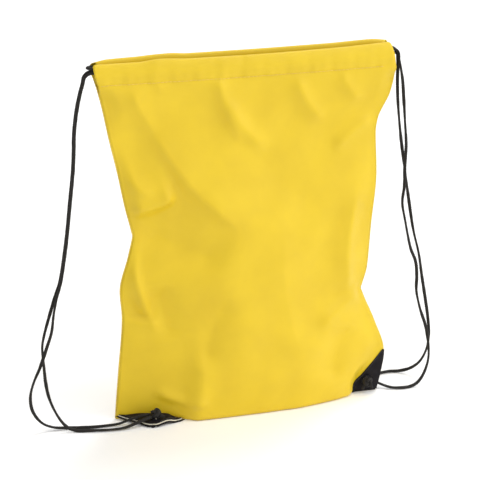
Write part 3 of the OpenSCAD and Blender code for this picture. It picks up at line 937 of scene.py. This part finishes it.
def make_side_seam(name, side, node_name):
    z = np.linspace(1.2, HEM_Z / MM + 0.5, 360)
    x = edge_x(side, z)
    path = np.stack([x + side * 0.35, 0.25 * np.sin(z / 13), z], 1) * MM
    seam = tube(name, path, overlock, sides=10, side=(0, 1, 0))
    dress(seam, THREAD_MAT, "seam_thread", "bag", node_name)


def make_bottom_seam():
    """Seam allowance that stands up inside the bag along the middle of its base."""
    x = np.linspace(-BOTTOM_SEAM_HALF, BOTTOM_SEAM_HALF, 101)
    height = np.linspace(0, BOTTOM_SEAM_HEIGHT, 4)
    grid = np.array([[(a, 0.35 * math.sin(a / 7) * h, 1.3 + h) for h in height] for a in x]) * MM
    seam = grid_object("bottom_seam_allowance", grid, grid[..., [0, 2]])
    thicken(seam, 0.9 * MM)
    dress(seam, THREAD_MAT, "seam_thread", "bag", "bottom_seam")


STITCH_SIDES = 6
STITCH_RINGS = 7


def stitches(name, runs, radius, mat, slot, replaced):
    """One object of many stitches; a run is (start, end, how far its middle stands out)."""
    verts, faces, uvs = [], [], []
    turn = np.linspace(0, 2 * math.pi, STITCH_SIDES, endpoint=False)
    t = np.linspace(0, 1, STITCH_RINGS)[:, None]
    for begin, end, out in runs:
        path = begin + (end - begin) * t + out * np.sin(math.pi * t)
        a, b = rings_along(path, (0.31, 0.17, 0.93))
        start = len(verts)
        for k, p in enumerate(path):
            for w in turn:
                verts.append(p + radius * (math.cos(w) * a[k] + math.sin(w) * b[k]))
                uvs.append((w / (2 * math.pi), k * 0.5 * MM))
        last = start + (STITCH_RINGS - 1) * STITCH_SIDES
        faces += grid_faces(STITCH_RINGS, STITCH_SIDES, start, wrap=True)
        faces.append(tuple(start + k for k in range(STITCH_SIDES - 1, -1, -1)))
        faces.append(tuple(last + k for k in range(STITCH_SIDES)))
    row = new_object(name, np.array(verts), faces, np.array(uvs))
    dress(row, mat, slot, "bag", replaced)


HEM_STITCH = 3.6  # length of a hem stitch in millimetres
HEM_STITCH_STEP = 4.6
HEM_STITCH_START = 4  # from the channel's end to the first one
HEM_THREAD_R = 0.32 * MM
PATCH_THREAD_R = 0.3 * MM


def hem_point(shape, x):
    """A point on the hem channel's stitch line."""
    share, out = HEM_SECTION[0]
    d = hem_depth(shape, np.array(x), share, out)
    z = hem_height(share) + share * profile_of(shape.rise, x)
    return np.array((x, shape.side * (float(d) + 0.3), float(z))) * MM


def make_hem_stitches(name, shape, node_name):
    """Row of stitches along the lower edge of a hem channel."""
    half = CHANNEL_HALF / MM - HEM_STITCH_START
    out = np.array((0, shape.side * 0.35 * MM, 0))
    runs = []
    for k in range(int(2 * half / HEM_STITCH_STEP)):
        x = HEM_STITCH_STEP * k - half
        runs.append((hem_point(shape, x), hem_point(shape, x + HEM_STITCH), out))
    stitches(name, runs, HEM_THREAD_R, THREAD_MAT, "seam_thread", node_name)


make_side_seam("left_seam_edge", -1, "left_side_seam")
make_side_seam("right_seam_edge", 1, "right_side_seam")
make_bottom_seam()
make_hem_stitches("front_hem_stitches", FRONT, "front_hem_stitching")
make_hem_stitches("back_hem_stitches", BACK, "back_hem_stitching")


# ---- the folded left corner ----

PATCH = 0.8 * MM  # thickness of the leather cloth
PATCH_OFF = 1.15  # millimetres from the ear's middle to each of its patches
PATCH_TOP = 1.6  # millimetres from there to the top of the upper patch
FLAP_FOLD = [(-43, 10.5), (-17, 9.5), (8, 9), (28, 8.5)]  # where the ear is folded off the bag
FLAP_TIP = [(-11, -9.5), (-5, -11), (0, -11), (4, -9.5)]  # its cut-off tip
# Only the under patch is drawn past its outline; its dark margin on the floor is painted shadow.
FLAP_WIDEN = 20  # millimetres past its outline for each share below 0 or above 1
FLAP_FLOOR = 1.06  # least height of the ear's middle, in millimetres
FLAP_SQUEEZE = 0.4  # share of their distance that its layers keep on the floor
SIDE_STITCHES = 15  # along each slanting side of the ear
STITCH_SHARE = 0.72  # of the way from one stitch to the next


def flap_point(s, t):
    """A place on the ear, in millimetres around its eyelet: s along the fold, t from fold to tip."""
    fold = curve_points(FLAP_FOLD, s)
    return fold + (curve_points(FLAP_TIP, s) - fold) * t[..., None]


def flap_height(x, y, away):
    """The ear bends up to the bag at its fold and down to the floor at its tip."""
    near = np.hypot(x, y)
    loose = smooth((near - 7) / 14)
    droop = 5.0 * smooth((x - 7) / 20) + 3.0 * smooth((-x - 9) / 26)
    return away + loose * (0.5 * np.sin(x / 5.0) - 0.9 * smooth((-y - 4) / 8) - droop)


def make_flap_layer(name, away, thickness, shrink, mat, slot, replaced):
    """One layer of the folded ear, drawn in from the cut edge by a share, or past it if negative: a dark
    layer drawn past the edge lays a margin of painted shadow on the floor round the ear.
    """
    s, t = np.meshgrid(np.linspace(shrink, 1 - shrink, 61), np.linspace(0, 1 - shrink, 31), indexing="ij")
    flat = flap_point(np.clip(s, 0, 1), t)
    flat[..., 0] += (s - np.clip(s, 0, 1)) * FLAP_WIDEN
    z = flap_height(flat[..., 0], flat[..., 1], away)
    local = np.concatenate([flat, z[..., None]], -1) * MM
    world = placed(LEFT_PLACE, local.reshape(-1, 3)).reshape(local.shape)
    world[..., 2] = np.maximum(world[..., 2], (FLAP_FLOOR + FLAP_SQUEEZE * away) * MM)
    layer = grid_object(name, world, flat * MM)
    open_eyelet(layer, flat[..., 0], flat[..., 1])
    thicken(layer, thickness)
    return dress(layer, mat, slot, "bag", replaced)


def make_raw_edge():
    """The cut edge of the ear's two cloth layers, pale where the coating stops."""
    s = np.linspace(0, 1, 40)
    legs = [flap_point(0 * s, s), flap_point(s, 0 * s + 1)[1:], flap_point(0 * s + 1, s[::-1])[1:]]
    flat = np.concatenate(legs)
    z = flap_height(flat[:, 0], flat[:, 1], 0.1)
    path = placed(LEFT_PLACE, np.concatenate([flat, z[:, None]], 1) * MM)
    path[:, 2] = np.maximum(path[:, 2], 1.1 * MM)
    edge = tube("left_raw_edge", even_steps(path, 1.2 * MM), frayed, sides=8, side=(0, 0, 1))
    dress(edge, RAW_EDGE_MAT, "seam_thread", "bag")


def frayed(angle, along):
    """Skin of a cut edge: its radius, with coarse and fine fraying."""
    return (0.72 + 0.12 * np.sin(along / (0.9 * MM) + 2 * angle) + 0.08 * np.sin(along / (0.37 * MM))) * MM


def make_left_stitches():
    """Stitches on the ear's upper patch, along its two slanting sides."""
    runs = []
    out = np.array((0, 0, 0.3 * MM))
    for s_at, t_from, t_to in ((0.06, 0.1, 0.92), (0.94, 0.92, 0.1)):
        at = np.linspace(t_from, t_to, SIDE_STITCHES + 1)
        for a, b in zip(at[:-1], at[1:]):
            ends = [flap_point(np.array(s_at), np.array(v)) for v in (a, a + STITCH_SHARE * (b - a))]
            spots = [np.array((x, y, float(flap_height(x, y, PATCH_TOP)))) * MM for x, y in ends]
            begin, end = placed(LEFT_PLACE, np.array(spots))
            runs.append((begin, end, out))
    stitches("left_patch_stitches", runs, PATCH_THREAD_R, PATCH_THREAD_MAT, "patch_thread",
             "left_patch_stitching")


def make_left_corner():
    core = make_flap_layer("left_ear_cloth", 0, 1.0 * MM, 0.012, CLOTH_MAT, "bag_cloth", "left_ear")
    # The under patch is the real back patch, drawn past the ear's cut outline by 0.18 of its size; that dark
    # margin is painted shadow under the ear.
    for name, way, shrink, node_name in (("left_patch_top", 1, 0, "left_front_patch"),
                                         ("left_patch_under_with_painted_shadow", -1, -0.18, "left_back_patch")):
        make_flap_layer(name, way * PATCH_OFF, PATCH, shrink, PATCH_MAT, "patch_leathercloth", node_name)
    make_raw_edge()
    make_left_stitches()


# ---- the standing right corner ----

# Outline of the patch from the foot of the bag to its side edge, as (x, z)
RIGHT_CUT = [(131, 0.6), (130.5, 7), (134, 14), (142, 21), (154, 34), (168, 50)]
FOOT_SHARE = 0.6  # share of its rows that run out to the foot, and not to the edge
EDGE_IN = 0.4  # millimetres from the patch to the bag's side edge
PATCH_STAND = 0.72  # millimetres from the cloth's middle to the patch's
FOOT_TUCK = 0.6  # share of the soft fold's radius by which the patch draws in at the foot
BINDING_R = 1.35 * MM


def right_patch_grid(shape):
    """Places of a standing patch: rows from the cut line out to the corner, lying on the cloth."""
    along = np.linspace(0, 1, 41)
    across = np.linspace(0, 1, 31)
    cut = curve_points(RIGHT_CUT, along)
    corner_x = profile_of(RIGHT_EDGE, 1) - EDGE_IN
    foot_x, foot_z = RIGHT_CUT[0]
    far = np.stack([foot_x + (corner_x - foot_x) * smooth(along / FOOT_SHARE), foot_z + 0 * along], 1)
    upper = along > FOOT_SHARE
    climb = (along[upper] - FOOT_SHARE) / (1 - FOOT_SHARE)
    far[upper, 1] = foot_z + (RIGHT_CUT[-1][1] - foot_z) * climb
    far[upper, 0] = profile_of(RIGHT_EDGE, far[upper, 1]) - EDGE_IN
    flat = cut[:, None, :] * (1 - across[None, :, None]) + far[:, None, :] * across[None, :, None]
    x, z = flat[..., 0], flat[..., 1]
    left = -profile_of(LEFT_EDGE, z)
    u = 2 * (x - left) / (profile_of(RIGHT_EDGE, z) - left) - 1
    d = depth_at(shape, u, z)
    at_foot = 1 - smooth(z / FOLD_R)
    y = shape.side * (d - FOOT_TUCK * at_foot * np.minimum(FOLD_R, d) + PATCH_STAND)
    return x, y, z


def make_right_patch(name, shape, replaced):
    x, y, z = right_patch_grid(shape)
    grid = np.stack([x, y, z], -1) * MM
    flat = np.stack([x - EYELET_X, z - EYELET_Z], -1)
    patch = grid_object(name, grid, flat * MM)
    open_eyelet(patch, flat[..., 0], flat[..., 1])
    thicken(patch, PATCH)
    dress(patch, PATCH_MAT, "patch_leathercloth", "bag", replaced)


def make_right_stitches():
    runs = []
    for shape in (FRONT, BACK):
        x, y, z = right_patch_grid(shape)
        row = np.stack([x[:, 2], y[:, 2] + shape.side * 0.35, z[:, 2]], 1) * MM
        path = even_steps(row, 0.85 * MM)[6:-3]
        out = np.array((0, shape.side * 0.3 * MM, 0))
        for k in range(0, len(path) - 3, 4):
            runs.append((path[k], path[k + 3], out))
    stitches("right_patch_stitches", runs, PATCH_THREAD_R, PATCH_THREAD_MAT, "patch_thread",
             "right_patch_stitching")


def binding_radius(angle, along):
    return np.full_like(angle, BINDING_R)


def make_right_binding():
    """The patch's leather cloth turned round the bag's edge, from the foot up to the top of the patch."""
    z = np.linspace(1.3, RIGHT_CUT[-1][1] - 1, 60)
    x = profile_of(RIGHT_EDGE, z) + 0.5
    path = np.stack([x, 0.2 * np.sin(z / 9), z], 1) * MM
    binding = tube("right_patch_binding", path, binding_radius, sides=12, side=(0, 1, 0))
    dress(binding, PATCH_MAT, "patch_leathercloth", "bag")


make_left_corner()
make_right_binding()
make_right_patch("right_patch_front", FRONT, "right_front_patch")
make_right_patch("right_patch_back", BACK, "right_back_patch")
make_right_stitches()

for eyelet in ("left_eyelet", "left_eyelet_washer", "right_eyelet", "right_eyelet_washer"):
    metal = bpy.data.objects[eyelet]
    metal.data.materials.clear()
    metal.data.materials.append(METAL_MAT)


# ---- floor and light ----

FLOOR_HALF = 6


def make_floor():
    corners = [(x * FLOOR_HALF, y * FLOOR_HALF, 0) for x, y in ((-1, -1), (1, -1), (1, 1), (-1, 1))]
    floor = new_object("floor", corners, [(0, 1, 2, 3)])
    floor.data.materials.append(floor_material())


def sun_light(name, direction, angle, strength, colour):
    data = bpy.data.lights.new(name, "SUN")
    data.angle = math.radians(angle)
    data.energy = strength
    data.color = colour
    light = add_object(name, data)
    light.rotation_mode = "QUATERNION"
    light.rotation_quaternion = Vector(direction).to_track_quat("-Z", "Y")


WORLD_STRENGTH = 1.8
WORLD_DARK = 0.05
WORLD_BRIGHT = 0.85
BRIGHT_SIDE = (0.84, -0.46, -0.28)  # the room is brightest low on the front right
# Soft suns, as (name, direction, size in degrees, strength, colour)
SUNS = [
    ("left_front", (0.5, 0.55, -1), 32, 0.6, (1, 0.99, 0.98)),
    ("right_front", (-0.85, 0.42, -0.75), 22, 0.95, (1, 0.99, 0.97)),
    ("right_back", (-0.5, -0.45, -1), 24, 1.2, (1, 1, 1)),
]


def make_light():
    """A white room that shades from its bright side to the other, and the suns."""
    world = bpy.data.worlds.new("studio")
    world.use_nodes = True
    tree = world.node_tree
    background = tree.nodes["Background"]
    background.inputs["Strength"].default_value = WORLD_STRENGTH
    where = tree.nodes.new("ShaderNodeTexCoord")
    toward = tree.nodes.new("ShaderNodeVectorMath")
    toward.operation = "DOT_PRODUCT"
    toward.inputs[1].default_value = BRIGHT_SIDE
    shade = tree.nodes.new("ShaderNodeMapRange")
    shade.inputs["From Min"].default_value = -1
    shade.inputs["To Min"].default_value = WORLD_DARK
    shade.inputs["To Max"].default_value = WORLD_BRIGHT
    tree.links.new(where.outputs["Generated"], toward.inputs[0])
    tree.links.new(toward.outputs["Value"], shade.inputs["Value"])
    tree.links.new(shade.outputs["Result"], background.inputs["Color"])
    bpy.context.scene.world = world
    for sun in SUNS:
        sun_light(*sun)
    bpy.context.scene.view_settings.view_transform = "Standard"


make_floor()
make_light()
